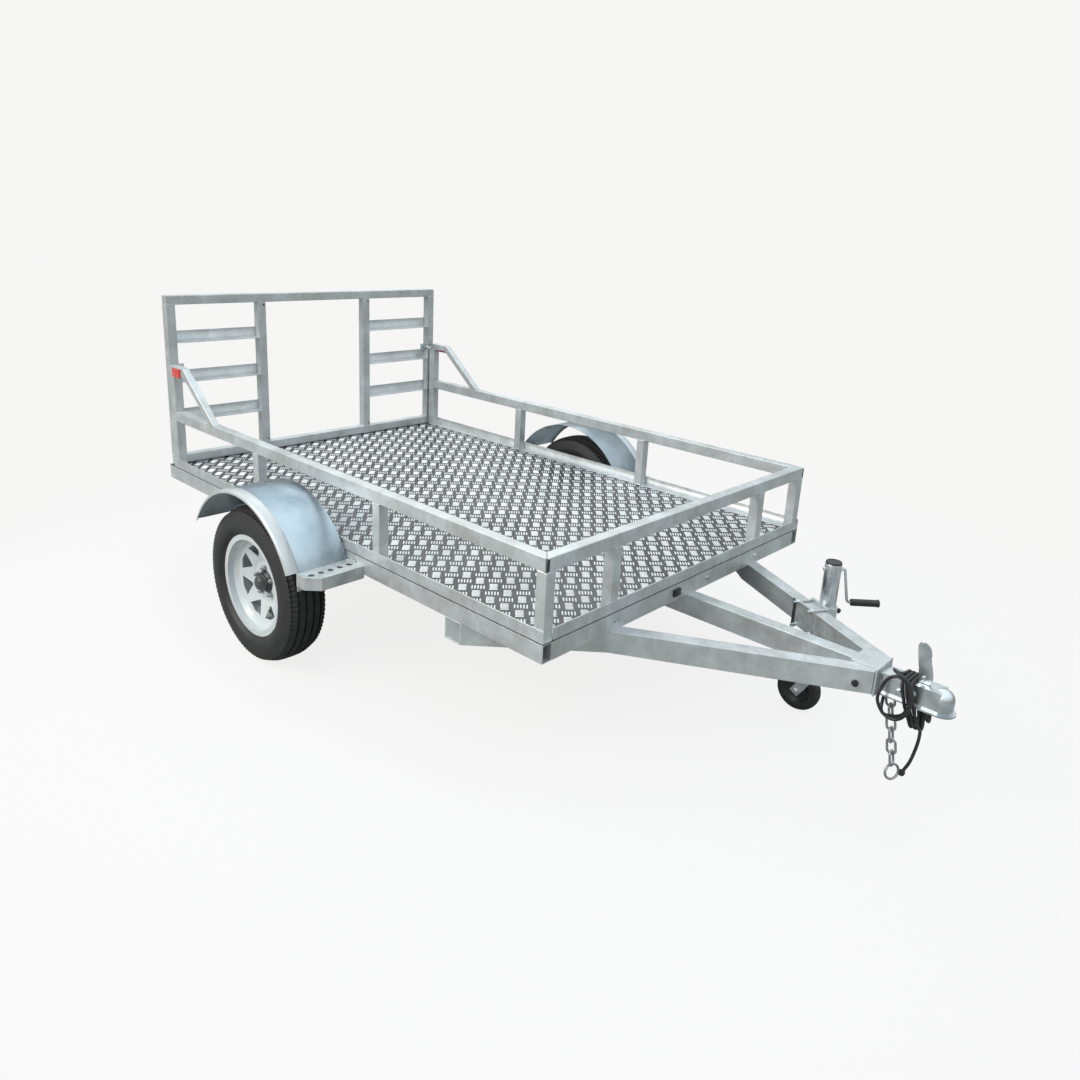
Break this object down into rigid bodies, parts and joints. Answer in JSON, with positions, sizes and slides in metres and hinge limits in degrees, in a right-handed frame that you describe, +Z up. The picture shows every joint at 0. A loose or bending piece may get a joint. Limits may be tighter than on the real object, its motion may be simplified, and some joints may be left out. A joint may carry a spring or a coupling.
{
  "type": "flatbed utility trailer",
  "caption": "Flatbed utility trailer with low side rails, tall hinged rear gate, mudguards, drawbar with ball coupling and a jockey wheel.",
  "frame": {"origin": "on the floor under the middle of the bounding box", "axes": "+X forward to the coupling, +Y to the trailer's left, +Z up"},
  "size_m": [3.3, 2.032, 1.256],
  "materials": {
    "galvanised": "satin",
    "deck": "satin",
    "zinc": "satin",
    "spring_paint": "satin",
    "rim_paint": "gloss",
    "hub_paint": "satin",
    "tyre": "matt",
    "wheel_rubber": "matt",
    "cable": "satin",
    "lamp": "gloss",
    "plate": "matt",
    "reflector": "gloss"
  },
  "bodies": {
    "root": {"chassis_side_rails": "galvanised", "chassis_cross_members": "galvanised", "deck_plate": "deck", "edge_angles": "galvanised", "top_rail_sides": "galvanised", "top_rail_front": "galvanised", "posts": "galvanised", "rear_braces": "galvanised", "drawbar_beams": "galvanised", "drawbar_head": "galvanised", "coupling_body": "zinc", "coupling_lever": "zinc", "safety_chain": "zinc", "jockey_clamp": "zinc", "jockey_tube": "zinc", "jockey_crank": "zinc", "axle_beam": "galvanised", "leaf_springs": "spring_paint", "spring_hangers": "spring_paint", "spring_clamps": "galvanised", "mudguards": "galvanised", "mudguard_brackets": "galvanised", "steps": "galvanised", "hinge_knuckles": "galvanised", "tail_lamps": "lamp", "number_plate": "plate", "side_reflectors": "reflector", "cable_coil": "cable", "cable_tail": "cable", "cable_plug": "cable", "cable_knot": "cable"},
    "wheel_right": {"tyre_right": "tyre", "rim_right": "rim_paint", "hub_right": "hub_paint"},
    "wheel_left": {"tyre_left": "tyre", "rim_left": "rim_paint", "hub_left": "hub_paint"},
    "tailgate": {"gate_uprights": "galvanised", "gate_rails": "galvanised", "gate_rungs": "galvanised", "gate_hinges": "galvanised", "gate_latches": "zinc"},
    "leg": {"jockey_leg": "zinc"},
    "castor": {"jockey_fork": "zinc"},
    "nose_wheel": {"jockey_wheel": "wheel_rubber"}
  },
  "joints": [
    {"name": "wheel_right_spin", "type": "hinge", "parent": "root", "child": "wheel_right", "pos_m": [-0.541, -0.905, 0.297], "axis": [0, 1, 0], "continuous": true},
    {"name": "wheel_left_spin", "type": "hinge", "parent": "root", "child": "wheel_left", "pos_m": [-0.541, 0.905, 0.297], "axis": [0, 1, 0], "continuous": true},
    {"name": "tailgate_hinge", "type": "hinge", "parent": "root", "child": "tailgate", "pos_m": [-1.632, 0, 0.499], "axis": [0, -1, 0], "range_deg": [0, 128]},
    {"name": "jockey_leg_slide", "type": "slide", "parent": "root", "child": "leg", "axis": [0, 0, 1], "range_m": [-0.03, 0.15]},
    {"name": "jockey_castor", "type": "hinge", "parent": "leg", "child": "castor", "pos_m": [1.119, 0.27772, 0.176], "axis": [0, 0, 1], "continuous": true},
    {"name": "jockey_wheel_spin", "type": "hinge", "parent": "castor", "child": "nose_wheel", "pos_m": [1.061, 0.27772, 0.08], "axis": [0, 1, 0], "continuous": true}
  ]
}
